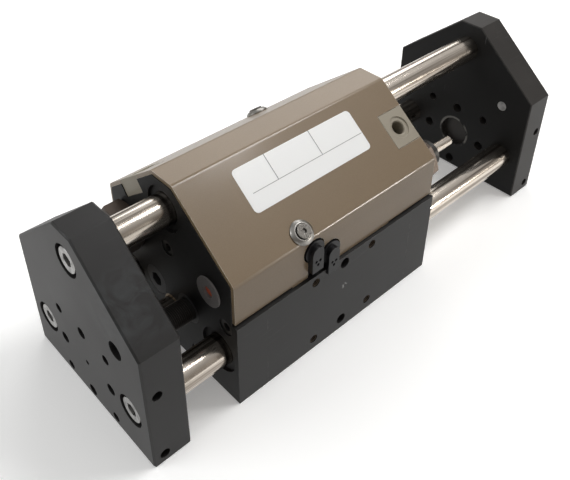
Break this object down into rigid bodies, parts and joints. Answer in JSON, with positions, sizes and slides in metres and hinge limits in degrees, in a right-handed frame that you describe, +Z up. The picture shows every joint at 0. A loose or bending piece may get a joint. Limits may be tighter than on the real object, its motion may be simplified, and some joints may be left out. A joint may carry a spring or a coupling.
{
  "type": "pneumatic slide table",
  "caption": "Pneumatic linear slide: a housing with a built-in air cylinder and ball bushings carries guide rods between two end plates, with shock absorbers and stop screws.",
  "frame": {"origin": "centre of the housing's flat bottom face", "axes": "+X along the stroke towards the end with the wide gap, +Y to the back, +Z up"},
  "size_m": [0.298, 0.1013, 0.1071],
  "materials": {
    "black_anodised": "black anodised aluminium, satin",
    "hood_paint": "bronze-brown powder coat on sheet steel",
    "zinc_steel": "zinc-plated or hardened steel, bright",
    "black_steel": "blackened steel",
    "nut_steel": "oiled dark steel",
    "port_aluminium": "clear anodised aluminium, matt",
    "sensor_plastic": "black moulded plastic",
    "liner_steel": "stainless tube, honed inside",
    "gland_bronze": "bearing bronze",
    "seal_rubber": "black nitrile rubber",
    "piston_rod_chrome": "hard chrome, ground",
    "piston_aluminium": "turned aluminium",
    "magnet_plastic": "plastic-bonded magnet",
    "guide_rod_steel": "hardened, ground and polished steel",
    "bushing_steel": "bearing steel sleeve",
    "grey_plug": "grey anodised aluminium",
    "red_plastic": "red plastic"
  },
  "bodies": {
    "root": {"body_block": "black_anodised", "end_cover_left": "black_anodised", "end_cover_right": "black_anodised", "cover_screws_left": "black_steel", "cover_screws_right": "black_steel", "hood": "hood_paint", "hood_washers": "zinc_steel", "hood_screws": "zinc_steel", "port_block_left": "port_aluminium", "port_block_right": "port_aluminium", "sensor_socket_left": "sensor_plastic", "sensor_socket_right": "sensor_plastic", "cylinder_liner": "liner_steel", "rod_gland": "gland_bronze", "rod_seal": "seal_rubber", "bushing_top_left": "bushing_steel", "bushing_front_left": "bushing_steel", "bushing_back_left": "bushing_steel", "bushing_top_right": "bushing_steel", "bushing_front_right": "bushing_steel", "bushing_back_right": "bushing_steel", "wipers_left": "seal_rubber", "wipers_right": "seal_rubber", "absorber_left": "black_steel", "absorber_right": "black_steel", "lock_nut_left": "nut_steel", "lock_nut_right": "nut_steel", "bore_plug_left": "grey_plug", "bore_plug_right": "grey_plug", "plug_insert_left": "red_plastic", "plug_insert_right": "red_plastic", "stop_sleeve_left": "grey_plug", "stop_sleeve_right": "grey_plug", "stop_screw_left": "black_steel", "stop_screw_right": "black_steel", "stop_plug_left": "grey_plug", "stop_plug_right": "grey_plug"},
    "slide": {"slide_plate_left": "black_anodised", "slide_plate_right": "black_anodised", "guide_rod_top": "guide_rod_steel", "guide_rod_front": "guide_rod_steel", "guide_rod_back": "guide_rod_steel", "rod_screws_left": "zinc_steel", "rod_screws_right": "zinc_steel", "piston_rod": "piston_rod_chrome", "piston": "piston_aluminium", "piston_seals": "seal_rubber", "magnet_ring": "magnet_plastic", "piston_nut": "zinc_steel", "impact_pin_left": "zinc_steel", "impact_pin_right": "zinc_steel"},
    "plunger_left": {"plunger_left": "piston_rod_chrome"},
    "plunger_right": {"plunger_right": "piston_rod_chrome"}
  },
  "joints": [
    {"name": "table_slide", "type": "slide", "parent": "root", "child": "slide", "axis": [1, 0, 0], "range_m": [-0.0544, 0]},
    {"name": "plunger_left_press", "type": "slide", "parent": "root", "child": "plunger_left", "axis": [1, 0, 0], "range_m": [0, 0.0084], "stiffness_N_per_m": 300},
    {"name": "plunger_right_press", "type": "slide", "parent": "root", "child": "plunger_right", "axis": [-1, 0, 0], "range_m": [0, 0.017], "stiffness_N_per_m": 300}
  ]
}
